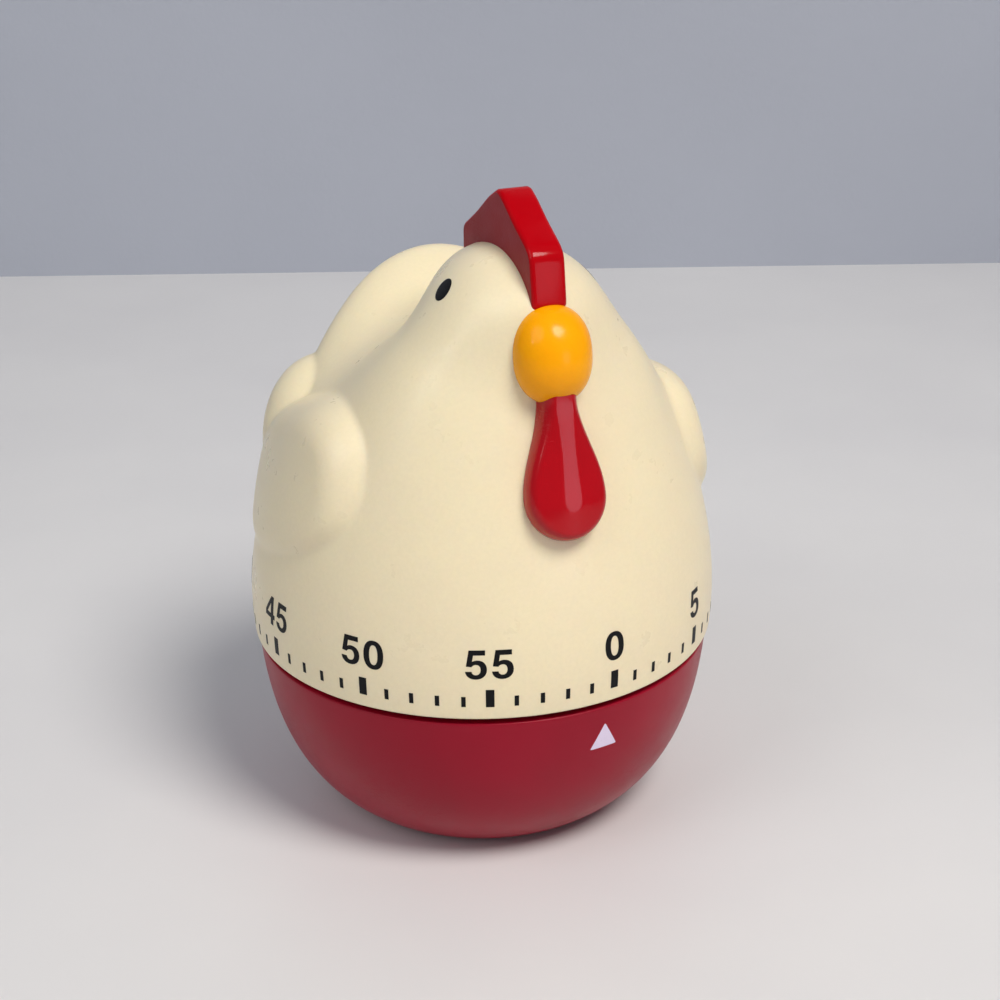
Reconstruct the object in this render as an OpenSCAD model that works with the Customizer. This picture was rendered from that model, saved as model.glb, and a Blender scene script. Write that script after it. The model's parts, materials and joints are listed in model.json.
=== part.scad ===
// Hen-shaped wind-up kitchen timer. The hen is the dial: it is turned clockwise, seen from above, to wind it,
// and runs back on its clockwork to the pointer on the base.
// Millimetres. +Z is up, z = 0 is the flat underside, the hen turns about the Z axis and faces -Y.
// "Share" values are fractions of the radius of the hen's bottom edge, measured from the centre of that edge.

/* [Size] */
// Radius of the hen's bottom edge
seam_r = 30; // [29:0.5:32]
// Height of the hen's bottom edge over the underside
seam_z = 24.5; // [24.5:0.25:26]
// Thickness of the hen shell, measured towards the centre of its bottom edge
hen_wall = 2.6; // [2.2:0.1:2.8]
// Thickness of the base shell
base_wall = 2; // [1.6:0.1:2.2]
// Gap between the hen's bottom edge and the base's rim
seam_gap = 0.9; // [0.6:0.1:1.1]

/* [Comb, beak and wattle] */
// Thickness of the comb, from side to side
comb_t = 4.3; // [3:0.1:6]
// Width of the beak
beak_w = 9.6; // [8:0.1:11]
// Width of the wattle at its widest
wattle_w = 9.7; // [8:0.1:11]

/* [Movement] */
// Radius of both plates
plate_r = 23.5; // [23.5:0.1:24]
// Thickness of both plates
plate_t = 1.2; // [1:0.1:1.4]
// Underside of the bottom plate
bottom_plate_z = 14; // [13.9:0.1:14]
// Radius of the circle that the pillars stand on
pillar_circle_r = 20.5; // [20.5:0.1:21]
// Radius of the dial arbor
arbor_r = 2; // [1.8:0.1:2.2]
// Radial play of each shaft in its hole
running_gap = 0.05; // [0.03:0.01:0.08]
// Teeth of the main wheel
main_teeth = 60; // [60:1:60]
// Teeth of the second wheel
second_teeth = 54; // [54:1:54]
// Teeth of the third wheel
third_teeth = 48; // [48:1:48]
// Leaves of each pinion
pinion_leaves = 8; // [8:1:8]
// Teeth of the escape wheel
escape_teeth = 24; // [18:1:30]

/* [Bell and hammer] */
// Outer radius of the bell
bell_r = 17; // [15:0.5:17]
// Rise of the strike cam over one turn
cam_lift = 2; // [1:0.1:2]

/* [Hidden] */
$fn = 48;
overlap = 0.1;      // how far a cutter runs past the face it cuts, or a joined solid into its neighbour
cream = "#f1e4c0";
hen_red = "#c8000c";
base_red = "#a01530";
yolk = "#ffa400";
steel = "#b9bcc0";
brass = "#c9a24a";

// ---- Hen surface ----
// A blob: [centre, half-sizes, backward tilt about X, roll about Y, power], in shares and degrees.
// Power 2 is an ellipsoid, and more is boxier.
body_blob = [[0, 0, 0.136], [1.004, 1.004, 1.142], 0, 0, 2];
neck_blob = [[0, -0.304, 0.795], [0.614, 0.44, 0.887], -13, 0, 2];
head_blob = [[0, -0.358, 1.537], [0.229, 0.38, 0.182], 0, 0, 2];
tail_blob = [[0, 0.368, 0.53], [0.667, 0.32, 1.006], 12, 0, 2];
rear_wing_blob = [[-0.502, 0.386, 0.671], [0.333, 0.311, 0.459], 26, 5.7, 2];
wing_outline = [[0, -0.012, 0.762], [9, 0.54, 0.332], 16.6, 0, 2.5];    // long in X, and holds the wing pad
wing_middle = 0.762;
wing_lift = 0.06;       // how far the pad stands over the body at its middle height, and
wing_lift_rise = 0.12;  // how much further for each share up
wing_edge = 0.14;       // how widely the pad's edge is rounded
neck_blend = 0.445;     // how widely each pair of blobs flows together
head_blend = 0.274;
tail_blend = 0.283;
wing_blend = 0.03;
around = 72;            // facets round the hen
upward = 32;            // rows of facets from the bottom edge to the top
bisections = 14;
reach_low = 0.3;        // the surface lies between these shares in every direction
reach_high = 2.6;

// ---- Base profile: a cubic superellipse whose widest place lies above the seam ----
base_widest_r = 0.9923 * seam_r;
base_widest_z = seam_z + 0.3694 * seam_r;
base_drop = 1.2742 * seam_r;
base_power = 3;
rim_z = seam_z - seam_gap;
lip_gap = 0.3;              // between the lip and the hen that turns round it
lip_r = seam_r - hen_wall - lip_gap;
lip_t = 1.6;
lip_top_z = seam_z + 1.3;
floor_t = 2.2;
profile_steps = 20;

// ---- Heights in the movement ----
top_plate_z = bottom_plate_z + plate_t + 11.6;
plates_top_z = top_plate_z + plate_t;
between_z = bottom_plate_z + plate_t;
main_wheel_z = between_z + 0.8;
escape_wheel_z = between_z + 3;
pallet_z = between_z + 4;
third_wheel_z = between_z + 5.8;
balance_wheel_z = between_z + 7.8;
second_wheel_z = between_z + 9.2;
wheel_t = 0.7;
main_wheel_t = 1.4;
finger_z = plates_top_z + 1.6;
finger_t = 1;
carrier_z = finger_z + finger_t + 0.6;
carrier_t = 2;
carrier_r = 28.1;
cam_t = 1;
cam_z = bottom_plate_z - 0.5 - cam_t;
arbor_bottom_z = cam_z - 0.05;
carrier_hub_h = 6.8;
arbor_top_z = carrier_z + carrier_hub_h;

// ---- Train: tooth sizes, and each arbor's place as [distance from the axis, direction] ----
main_module = 0.4;
second_module = 0.32;
third_module = 0.3;
pressure_angle = 20;
wheel_addendum = 0.7;       // in modules, as are the next three
wheel_dedendum = 1.15;
pinion_addendum = 0.6;
pinion_dedendum = 1.05;
tooth_share = 0.8;          // tooth width as a share of half the pitch, which leaves backlash
flank_steps = 4;
second_at = [main_module * (main_teeth + pinion_leaves) / 2, 0];
outer_arbor_circle_r = 16;
third_reach = second_module * (second_teeth + pinion_leaves) / 2;
escape_reach = third_module * (third_teeth + pinion_leaves) / 2;
third_at = [outer_arbor_circle_r, angle_between(second_at[0], outer_arbor_circle_r, third_reach)];
escape_step = angle_between(outer_arbor_circle_r, outer_arbor_circle_r, escape_reach);
escape_at = [outer_arbor_circle_r, third_at[1] + escape_step];
balance_circle_r = 17;
balance_reach = 7.4;
balance_step = angle_between(outer_arbor_circle_r, balance_circle_r, balance_reach);
balance_at = [balance_circle_r, escape_at[1] + balance_step];
slim_arbor_r = 0.75;
pivot_r = 0.45;
pivot_l = 1.1;
arbor_end_play = 0.1;
hub_w = 0.7;                // metal round the hole of the pallet arm and of the balance wheel
pinion_overhang = 0.3;      // how far a pinion stands past each side of the wheel that drives it
window_circle = 0.56;       // a wheel's windows: where their centres lie and how large they are,
window_size = 0.24;         // as shares of the pitch radius

// ---- Escapement ----
escape_r = 6;
escape_root_r = 4.9;
pallet_pin_r = 0.3;
pallet_pin_reach = 6.75;    // from the escape arbor to each pin at rest, so that no pin meets a tooth
pallet_pin_spread = 40;     // each pin's direction from the line of centres, seen from the escape arbor
pallet_pin_end = 0.3;       // how far the pins reach below the escape wheel
pallet_arm_w = 0.9;

// ---- Pillars, bosses and screws ----
pillar_angles = [125, 190, 255, 325];
pillar_r = 1.75;
boss_angles = [60, 160, 290];
boss_r = 2.3;
boss_hole_depth = 8;
screw_r = 1;
screw_head_r = 1.75;
screw_head_t = 1;
screw_depth = 5;            // how far a screw reaches into its pillar
boss_screw_depth = 7;       // and into its boss

// ---- Stop: the finger and the pin leave 348 degrees of travel ----
stop_circle_r = 20;
stop_pin_r = 0.75;
finger_w = 2;
finger_at = 60;
stop_gap = 0.05;
stop_pin_end = 0.2;         // how far the pin stands over the finger
finger_end = 1;             // how far the finger runs past the pin's circle
finger_hub_w = 2;
stop_pin_at = finger_at + asin((finger_w / 2 + stop_pin_r + stop_gap) / stop_circle_r);

// ---- Bell, cam and hammer ----
bell_t = 0.7;
bell_bottom_z = 4.3;
bell_top_z = 10.2;
bell_corner_r = 2.2;
bell_stud_r = 1.5;
bell_post_r = 2.5;
bell_stud_end = 0.9;        // how far the stud stands out of the bell
bell_nut_r = 2.9;
bell_nut_t = 1;
cam_high_r = 7.5;
travel = 348;               // the dial's range in degrees, over which the cam's radius falls by cam_lift
cam_edge = 4;               // degrees of cam beyond each end of the travel
nose_r = 0.4;
nose_gap = 0.2;
hammer_pivot = [15, 290];   // [distance from the axis, direction]
nose_at = hammer_pivot[1] - acos((cam_high_r - cam_lift / 2 + nose_gap + nose_r) / hammer_pivot[0]);
nose_reach = cam_high_r + nose_gap + nose_r;
elbow_reach = nose_reach + 2.9;     // the lever comes round to the nose from outside the cam
elbow_w = 1.2;
hammer_stud_r = 1;
hammer_stud_head_r = 1.6;
hammer_stud_head_t = 0.45;
hammer_stud_drop = 1.9;     // from the lever's underside to the stud's end
hammer_head_r = 1.4;
hammer_head_h = 5.5;
hammer_head_gap = 2.3;      // from the bell to the head when the hen stands at 0
hammer_head_at = [bell_r + hammer_head_r + hammer_head_gap, 229.5];
lever_w = 2;
lever_t = 1;
lever_eye_w = 1;            // metal round the lever's hole

// ---- Mainspring ----
spring_inner_r = 3;
spring_outer_r = 7.8;
spring_turns = 8;
spring_strip_t = 0.25;
spring_loop_gap = 0.05;     // play of its end loop on the pillar
spring_z = between_z + 3.2;
spring_h = 5.4;

// Angle at the axis between two arbors at distances a and b that stand the distance c apart
function angle_between(a, b, c) = acos((a * a + b * b - c * c) / (2 * a * b));

function polar(at) = [at[0] * cos(at[1]), at[0] * sin(at[1])];
function polar3(at, z) = [at[0] * cos(at[1]), at[0] * sin(at[1]), z];

// Vector p turned so that an upright blob leans back by t degrees
function leaned(p, t) = [p[0], cos(t) * p[1] - sin(t) * p[2], sin(t) * p[1] + cos(t) * p[2]];
function rolled(p, t) = [cos(t) * p[0] + sin(t) * p[2], p[1], cos(t) * p[2] - sin(t) * p[0]];

// Close to the distance from point p to a blob's surface, negative inside
function blob_distance(p, blob) =
    let (
        q = rolled(leaned(p - blob[0], blob[2]), blob[3]),
        power = blob[4],
        shares = [for (k = [0:2]) abs(q[k] / blob[1][k])],
        n = pow(max(pow(shares[0], power) + pow(shares[1], power) + pow(shares[2], power), 1e-9), 1 / power),
        steepness = norm([for (k = [0:2]) pow(shares[k] / n, power - 1) / blob[1][k]])
    )
    (n - 1) / max(steepness, 1e-6);

// The smaller of two distances, with the crease between them filled over the width k
function blended(a, b, k) =
    let (h = max(k - abs(a - b), 0) / k)
    min(a, b) - h * h * k / 4;

// The body, with a raised pad and a rear lobe for the wing on each side
function hen_distance(p) =
    let (
        body = blob_distance(p, body_blob),
        neck = blended(body, blob_distance(p, neck_blob), neck_blend),
        head = blended(neck, blob_distance(p, head_blob), head_blend),
        tail = blended(head, blob_distance(p, tail_blob), tail_blend),
        side = [-abs(p[0]), p[1], p[2]],
        lift = wing_lift + wing_lift_rise * (p[2] - wing_middle),
        pad = -blended(lift - tail, -blob_distance(side, wing_outline), wing_edge),
        padded = blended(tail, pad, wing_blend)
    )
    blended(padded, blob_distance(side, rear_wing_blob), wing_blend);

// How far the hen's surface lies from the centre of its bottom edge in the direction d
function hen_reach(d, low, high, steps) =
    let (middle = (low + high) / 2)
    steps == 0 ? middle
        : hen_distance(d * middle) < 0 ? hen_reach(d, middle, high, steps - 1)
        : hen_reach(d, low, middle, steps - 1);

function direction(i, j) =
    let (turn = 360 * i / around, rise = 90 * j / upward)
    [cos(rise) * sin(turn), -cos(rise) * cos(turn), sin(rise)];

function base_r(z) =
    base_widest_r * pow(1 - pow((base_widest_z - z) / base_drop, base_power), 1 / base_power);

function involute_turn(r, base) = let (t = sqrt(pow(r / base, 2) - 1)) t * 180 / PI - atan(t);

// One tooth's flank as [radius, half-angle] pairs from root to tip
function flank(teeth, size, addendum, dedendum) =
    let (
        pitch = size * teeth / 2,
        base = pitch * cos(pressure_angle),
        root = pitch - dedendum * size,
        tip = pitch + addendum * size,
        start = max(base, root),
        half = 90 / teeth * tooth_share + involute_turn(pitch, base)
    )
    concat(
        root < base ? [[root, half]] : [],
        [for (k = [0:flank_steps - 1])
            let (r = start + (tip - start) * k / (flank_steps - 1)) [r, half - involute_turn(r, base)]]
    );

function gear_outline(teeth, size, addendum, dedendum) =
    let (side = flank(teeth, size, addendum, dedendum), n = len(side))
    [for (i = [0:teeth - 1], k = [0:2 * n - 1])
        let (
            step = k < n ? side[k] : side[2 * n - 1 - k],
            a = 360 * i / teeth + (k < n ? -step[1] : step[1])
        )
        polar([step[0], a])];

// ---- Shared shapes ----

module at_polar(at, z = 0) {
    translate(polar3(at, z)) children();
}

// A gear with a tooth along +X
module gear(teeth, size, addendum, dedendum, height, bore) {
    difference() {
        linear_extrude(height) polygon(gear_outline(teeth, size, addendum, dedendum));
        translate([0, 0, -overlap]) cylinder(r = bore, h = height + 2 * overlap);
    }
}

// Round windows that leave a wheel its rim, its hub and its spokes
module windows(count, circle, r, height) {
    for (i = [0:count - 1]) {
        rotate(360 * (i + 0.5) / count) translate([circle, 0, -overlap])
            cylinder(r = r, h = height + 2 * overlap);
    }
}

module wheel(teeth, size, height, bore, toward, window_count) {
    pitch = size * teeth / 2;
    rotate(toward) difference() {
        gear(teeth, size, wheel_addendum, wheel_dedendum, height, bore);
        windows(window_count, pitch * window_circle, pitch * window_size, height);
    }
}

// A pinion with a gap towards the wheel that drives it, which lies in the direction from_wheel
module pinion(size, height, bore, from_wheel) {
    rotate(from_wheel + 180 / pinion_leaves)
        gear(pinion_leaves, size, pinion_addendum, pinion_dedendum, height, bore);
}

// A slim arbor between the plates, with a thinner pivot at each end
module slim_arbor() {
    low = between_z + arbor_end_play;
    high = top_plate_z - arbor_end_play;
    translate([0, 0, low]) cylinder(r = slim_arbor_r, h = high - low);
    translate([0, 0, low - pivot_l]) cylinder(r = pivot_r, h = pivot_l);
    translate([0, 0, high]) cylinder(r = pivot_r, h = pivot_l);
}

// A round plate with its holes for the arbors and the screws
module plate(z) {
    difference() {
        translate([0, 0, z]) cylinder(r = plate_r, h = plate_t, $fn = 96);
        translate([0, 0, z - overlap]) {
            cylinder(r = arbor_r + running_gap, h = plate_t + 2 * overlap);
            for (at = [second_at, third_at, escape_at, balance_at]) {
                at_polar(at) cylinder(r = pivot_r + running_gap, h = plate_t + 2 * overlap);
            }
            for (a = pillar_angles) {
                at_polar([pillar_circle_r, a]) cylinder(r = screw_r, h = plate_t + 2 * overlap);
            }
        }
    }
}

// A screw with its head down at z = 0 and its shank up to the given length
module screw(shank) {
    slot_w = 0.4;
    slot_depth = 0.5;
    difference() {
        union() {
            cylinder(r = screw_head_r, h = screw_head_t);
            translate([0, 0, screw_head_t - overlap]) cylinder(r = screw_r, h = shank + overlap);
        }
        for (turn = [0, 90]) {
            rotate(turn) translate([-screw_r, -slot_w / 2, -overlap])
                cube([2 * screw_r, slot_w, slot_depth + overlap]);
        }
    }
}

// ---- Base and frame ----

// Bowl with a flat underside, a rim, a lip that the hen turns round, and a blind boss for each base screw
module base_shell() {
    inner_top_z = rim_z - base_wall;
    inner_top_r = base_r(inner_top_z) - base_wall;
    outer = [for (i = [0:profile_steps]) let (z = rim_z * i / profile_steps) [base_r(z), z]];
    inner = [for (i = [profile_steps:-1:0])
        let (z = floor_t + (inner_top_z - floor_t) * i / profile_steps) [base_r(z) - base_wall, z]];
    lip = [
        [lip_r, rim_z], [lip_r, lip_top_z],
        [lip_r - lip_t, lip_top_z], [lip_r - lip_t, inner_top_z]
    ];
    color(base_red) difference() {
        union() {
            rotate_extrude($fn = 96) polygon(concat([[0, 0]], outer, lip, inner, [[0, floor_t]]));
            intersection() {
                for (a = boss_angles) {
                    at_polar([pillar_circle_r, a], overlap)
                        cylinder(r = boss_r, h = bottom_plate_z - overlap);
                }
                rotate_extrude($fn = 96) polygon(concat([[0, 0]], outer, [[inner_top_r, rim_z], [0, rim_z]]));
            }
        }
        for (a = boss_angles) {
            at_polar([pillar_circle_r, a], bottom_plate_z - boss_hole_depth)
                cylinder(r = screw_r, h = boss_hole_depth + overlap);
        }
    }
}

// Screws that hold the movement down in the base
module base_screws() {
    color(steel) for (a = boss_angles) {
        at_polar([pillar_circle_r, a], between_z + screw_head_t)
            rotate([180, 0, 0]) screw(plate_t + boss_screw_depth);
    }
}

module bottom_plate() {
    hole_z = bottom_plate_z - overlap;
    hole_h = plate_t + 2 * overlap;
    color(brass) difference() {
        plate(bottom_plate_z);
        at_polar(hammer_pivot, hole_z) cylinder(r = hammer_stud_r, h = hole_h);
        for (a = boss_angles) {
            at_polar([pillar_circle_r, a], hole_z) cylinder(r = screw_r, h = hole_h);
        }
    }
}

module top_plate() {
    color(brass) difference() {
        plate(top_plate_z);
        at_polar([stop_circle_r, stop_pin_at], top_plate_z - overlap)
            cylinder(r = stop_pin_r, h = plate_t + 2 * overlap);
    }
}

module pillars() {
    color(steel) for (a = pillar_angles) {
        at_polar([pillar_circle_r, a], between_z) difference() {
            cylinder(r = pillar_r, h = top_plate_z - between_z);
            translate([0, 0, -overlap]) cylinder(r = screw_r, h = top_plate_z - between_z + 2 * overlap);
        }
    }
}

// One screw down and one screw up into each pillar
module plate_screws() {
    color(steel) for (a = pillar_angles) {
        at_polar([pillar_circle_r, a], plates_top_z + screw_head_t)
            rotate([180, 0, 0]) screw(plate_t + screw_depth);
        at_polar([pillar_circle_r, a], bottom_plate_z - screw_head_t) screw(plate_t + screw_depth);
    }
}

module stop_pin() {
    color(steel) at_polar([stop_circle_r, stop_pin_at], top_plate_z)
        cylinder(r = stop_pin_r, h = finger_z + finger_t + stop_pin_end - top_plate_z);
}

// ---- Bell and hammer ----

module bell_post() {
    color(steel) {
        translate([0, 0, floor_t]) cylinder(r = bell_post_r, h = bell_top_z - bell_t - floor_t);
        translate([0, 0, bell_top_z - bell_t - overlap])
            cylinder(r = bell_stud_r, h = bell_t + overlap + bell_stud_end);
    }
}

// Inverted cup with a round shoulder
module bell() {
    color(steel) rotate_extrude($fn = 96) polygon(concat(
        [[bell_stud_r, bell_top_z - bell_t], [bell_stud_r, bell_top_z]],
        [for (a = [90:-15:0]) [bell_r - bell_corner_r, bell_top_z - bell_corner_r]
            + bell_corner_r * [cos(a), sin(a)]],
        [[bell_r, bell_bottom_z], [bell_r - bell_t, bell_bottom_z]],
        [for (a = [0:15:90]) [bell_r - bell_corner_r, bell_top_z - bell_corner_r]
            + (bell_corner_r - bell_t) * [cos(a), sin(a)]]
    ));
}

module bell_nut() {
    color(brass) translate([0, 0, bell_top_z]) difference() {
        cylinder(r = bell_nut_r, h = bell_nut_t, $fn = 6);
        translate([0, 0, -overlap]) cylinder(r = bell_stud_r, h = bell_nut_t + 2 * overlap);
    }
}

// Snail that lifts the hammer lever a little more every minute as the hen runs back to 0
module strike_cam() {
    cam_steps = 60;
    color(steel) translate([0, 0, cam_z]) difference() {
        linear_extrude(cam_t) polygon([for (i = [0:cam_steps])
            let (a = -cam_edge + (travel + 2 * cam_edge) * i / cam_steps)
            polar([cam_high_r - cam_lift * a / travel, nose_at + a])]);
        translate([0, 0, -overlap]) cylinder(r = arbor_r, h = cam_t + 2 * overlap);
    }
}

// Lever from its stud to the cam on one side and to the hammer head on the other
module hammer_lever() {
    pivot = polar(hammer_pivot);
    elbow = polar([elbow_reach, nose_at]);
    nose = polar([nose_reach, nose_at]);
    head = polar(hammer_head_at);
    color(steel) translate([0, 0, cam_z]) difference() {
        union() {
            translate(pivot) cylinder(r = hammer_stud_r + lever_eye_w, h = lever_t);
            bar(pivot, elbow, elbow_w, lever_t);
            translate(elbow) cylinder(r = 0.6 * elbow_w, h = lever_t);
            bar(elbow, nose, 1.6 * nose_r, lever_t);
            translate(nose) cylinder(r = nose_r, h = lever_t);
            bar(pivot, head, lever_w, lever_t);
            translate(head) cylinder(r = hammer_head_r, h = lever_t);
        }
        translate(concat(pivot, [-overlap]))
            cylinder(r = hammer_stud_r + running_gap, h = lever_t + 2 * overlap);
    }
}

// A straight bar of the given width from point a to point b
module bar(a, b, width, height) {
    along = b - a;
    translate(a) rotate(atan2(along[1], along[0])) translate([0, -width / 2, 0])
        cube([norm(along), width, height]);
}

module hammer_head() {
    color(brass) at_polar(hammer_head_at, cam_z - hammer_head_h)
        cylinder(r = hammer_head_r, h = hammer_head_h);
}

// Stud in the bottom plate, with a head below that keeps the lever and its spring on
module hammer_stud() {
    end_z = cam_z - hammer_stud_drop;
    color(steel) {
        at_polar(hammer_pivot, end_z) {
            cylinder(r = hammer_stud_r, h = between_z - end_z);
            cylinder(r = hammer_stud_head_r, h = hammer_stud_head_t);
        }
    }
}

// Coil round the hammer stud, with one leg on the lever's arm and one towards the base
module hammer_spring() {
    wire_r = 0.2;
    coil_r = hammer_stud_r + 0.35;
    coils = 3;
    coil_step = 1.9 * wire_r;       // under the wire's thickness, so that the coils are one solid
    lever_leg = 8;
    base_leg = 6;
    top_z = cam_z - 2 * wire_r;
    color(steel) at_polar(hammer_pivot, top_z) {
        for (i = [0:coils - 1]) {
            translate([0, 0, -coil_step * i])
                rotate_extrude() translate([coil_r, 0]) circle(wire_r, $fn = 16);
        }
        translate([0, -coil_r, 0]) rotate([0, -90, 0]) cylinder(r = wire_r, h = lever_leg, $fn = 16);
        translate([0, coil_r, -coil_step * (coils - 1)]) rotate([0, 90, 0])
            cylinder(r = wire_r, h = base_leg, $fn = 16);
    }
}

// ---- Hen ----

// Hollow moulding whose outside is the blended blobs
module hen_shell() {
    rows = [for (j = [0:upward - 1], i = [0:around - 1])
        let (d = direction(i, j)) [d, hen_reach(d, reach_low, reach_high, bisections) * seam_r]];
    top = hen_reach([0, 0, 1], reach_low, reach_high, bisections) * seam_r;
    outer = concat([for (r = rows) r[0] * r[1]], [[0, 0, top]]);
    inner = concat([for (r = rows) r[0] * (r[1] - hen_wall)], [[0, 0, top - hen_wall]]);
    n = len(outer);
    // Corner numbers of the skin's triangles, seen from outside
    skin = concat(
        [for (j = [0:upward - 2], i = [0:around - 1], half = [0, 1])
            let (
                a = j * around + i,
                b = j * around + (i + 1) % around,
                c = a + around,
                d = b + around
            )
            half == 0 ? [a, c, b] : [b, c, d]],
        [for (i = [0:around - 1])
            [(upward - 1) * around + i, n - 1, (upward - 1) * around + (i + 1) % around]]
    );
    edge = [for (i = [0:around - 1], half = [0, 1])
        let (a = i, b = (i + 1) % around)
        half == 0 ? [a, b, n + a] : [b, n + b, n + a]];
    color(cream) translate([0, 0, seam_z]) polyhedron(
        concat(outer, inner),
        concat(skin, [for (f = skin) [n + f[0], n + f[2], n + f[1]]], edge)
    );
}

// Red blade that stands in the head, drawn in the plane that splits the hen
module comb() {
    outline = [
        [0.02, 1.56], [0.02, 1.755], [0.165, 1.84], [0.305, 1.935], [0.405, 1.985], [0.47, 1.955],
        [0.578, 1.888], [0.7, 1.825], [0.735, 1.79], [0.747, 1.71], [0.762, 1.59], [0.66, 1.5], [0.5, 1.6]
    ];
    color(hen_red) translate([0, 0, seam_z]) rotate([90, 0, -90]) translate([0, 0, -comb_t / 2])
        linear_extrude(comb_t) polygon([for (p = outline) p * seam_r]);
}

module beak() {
    beak_at = [0.775, 1.418];           // forward and up, in shares
    beak_depth = 0.15;                  // half its length and half its height, in shares
    beak_height = 0.203;
    color(yolk) translate([0, -beak_at[0] * seam_r, seam_z + beak_at[1] * seam_r]) rotate([-9, 0, 0])
        scale([beak_w / 2, beak_depth * seam_r, beak_height * seam_r]) sphere(r = 1);
}

// Drop: a wide round end below and a narrow neck under the beak
module wattle() {
    round_at = [0.861, 0.886];          // forward and up, in shares, as is the next
    neck_at = [0.775, 1.265];
    round_depth = 0.12;
    neck_r = 0.072;
    throat_lean = 12;                   // how far the drop leans back with the throat
    color(hen_red) hull() {
        translate([0, -round_at[0] * seam_r, seam_z + round_at[1] * seam_r]) rotate([-throat_lean, 0, 0])
            scale([wattle_w / 2, round_depth * seam_r, wattle_w / 2]) sphere(r = 1, $fn = 32);
        translate([0, -neck_at[0] * seam_r, seam_z + neck_at[1] * seam_r]) rotate([-throat_lean, 0, 0])
            scale([neck_r * seam_r, round_depth * seam_r, neck_r * seam_r]) sphere(r = 1, $fn = 32);
    }
}

// Disc pressed into the hen, with a hub that grips the arbor
module carrier_disc() {
    hub_r = 4.5;
    hole_circle = 0.6 * carrier_r;
    hole_r = 0.19 * carrier_r;
    color(cream) difference() {
        union() {
            translate([0, 0, carrier_z]) cylinder(r = carrier_r, h = carrier_t, $fn = 96);
            translate([0, 0, carrier_z]) cylinder(r = hub_r, h = arbor_top_z - carrier_z);
        }
        translate([0, 0, carrier_z - overlap])
            cylinder(r = arbor_r, h = arbor_top_z - carrier_z + 2 * overlap);
        translate([0, 0, carrier_z]) windows(6, hole_circle, hole_r, carrier_t);
    }
}

module dial_arbor() {
    color(steel) translate([0, 0, arbor_bottom_z]) cylinder(r = arbor_r, h = arbor_top_z - arbor_bottom_z);
}

module stop_finger() {
    color(steel) rotate(finger_at) translate([0, 0, finger_z]) difference() {
        union() {
            cylinder(r = arbor_r + finger_hub_w, h = finger_t);
            translate([0, -finger_w / 2, 0]) cube([stop_circle_r + finger_end, finger_w, finger_t]);
        }
        translate([0, 0, -overlap]) cylinder(r = arbor_r, h = finger_t + 2 * overlap);
    }
}

// Spring washer that presses on the main wheel, so that the dial can slip when it is wound
module clutch_washer() {
    washer_r = 5;
    washer_t = 0.5;
    color(steel) translate([0, 0, main_wheel_z + main_wheel_t + running_gap]) difference() {
        cylinder(r = washer_r, h = washer_t);
        translate([0, 0, -overlap]) cylinder(r = arbor_r, h = washer_t + 2 * overlap);
    }
}

// ---- Clockwork ----

// Spiral strip round the arbor, with a straight end that loops round one pillar
module mainspring() {
    anchor = pillar_angles[1];
    steps = spring_turns * 24;
    growth = (spring_outer_r - spring_inner_r) / steps;
    turn = 360 * spring_turns / steps;
    spiral = [for (i = [0:steps]) [spring_inner_r + growth * i, anchor + turn * i]];
    loop_r = pillar_r + spring_loop_gap;
    color(steel) translate([0, 0, spring_z]) {
        linear_extrude(spring_h) polygon(concat(
            [for (at = spiral) polar(at)],
            [for (i = [steps:-1:0]) polar([spiral[i][0] - spring_strip_t, spiral[i][1]])]
        ));
        bar(
            polar([spring_outer_r - spring_strip_t, anchor]),
            polar([pillar_circle_r - loop_r - overlap, anchor]),
            spring_strip_t, spring_h
        );
        at_polar([pillar_circle_r, anchor]) difference() {
            cylinder(r = loop_r + spring_strip_t, h = spring_h);
            translate([0, 0, -overlap]) cylinder(r = loop_r, h = spring_h + 2 * overlap);
        }
    }
}

module main_wheel() {
    color(brass) translate([0, 0, main_wheel_z])
        wheel(main_teeth, main_module, main_wheel_t, arbor_r + running_gap, second_at[1], 6);
}

module second_arbor() {
    color(steel) at_polar(second_at) slim_arbor();
}

module second_pinion() {
    color(steel) at_polar(second_at, main_wheel_z - pinion_overhang)
        pinion(main_module, main_wheel_t + 2 * pinion_overhang, slim_arbor_r, second_at[1] + 180);
}

module second_wheel() {
    color(brass) at_polar(second_at, second_wheel_z)
        wheel(second_teeth, second_module, wheel_t, slim_arbor_r, bearing(second_at, third_at), 5);
}

module third_arbor() {
    color(steel) at_polar(third_at) slim_arbor();
}

module third_pinion() {
    color(steel) at_polar(third_at, second_wheel_z - pinion_overhang)
        pinion(second_module, wheel_t + 2 * pinion_overhang, slim_arbor_r, bearing(third_at, second_at));
}

module third_wheel() {
    color(brass) at_polar(third_at, third_wheel_z)
        wheel(third_teeth, third_module, wheel_t, slim_arbor_r, bearing(third_at, escape_at), 5);
}

module escape_arbor() {
    color(steel) at_polar(escape_at) slim_arbor();
}

module escape_pinion() {
    color(steel) at_polar(escape_at, third_wheel_z - pinion_overhang)
        pinion(third_module, wheel_t + 2 * pinion_overhang, slim_arbor_r, bearing(escape_at, third_at));
}

// Light wheel with raked teeth, whose tips the pallet pins catch in turn
module escape_wheel() {
    pitch = 360 / escape_teeth;
    color(brass) at_polar(escape_at, escape_wheel_z) difference() {
        linear_extrude(wheel_t) polygon([for (i = [0:escape_teeth - 1], k = [0:2])
            polar([k == 1 ? escape_r : escape_root_r, pitch * (i + [0, 0.1, 0.55][k])])]);
        translate([0, 0, -overlap]) cylinder(r = slim_arbor_r, h = wheel_t + 2 * overlap);
        windows(5, escape_root_r * 0.58, escape_root_r * 0.27, wheel_t);
    }
}

module balance_staff() {
    color(steel) at_polar(balance_at) slim_arbor();
}

// Direction in degrees from one arbor's place to another's
function bearing(from, to) =
    let (along = polar(to) - polar(from))
    atan2(along[1], along[0]);

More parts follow.
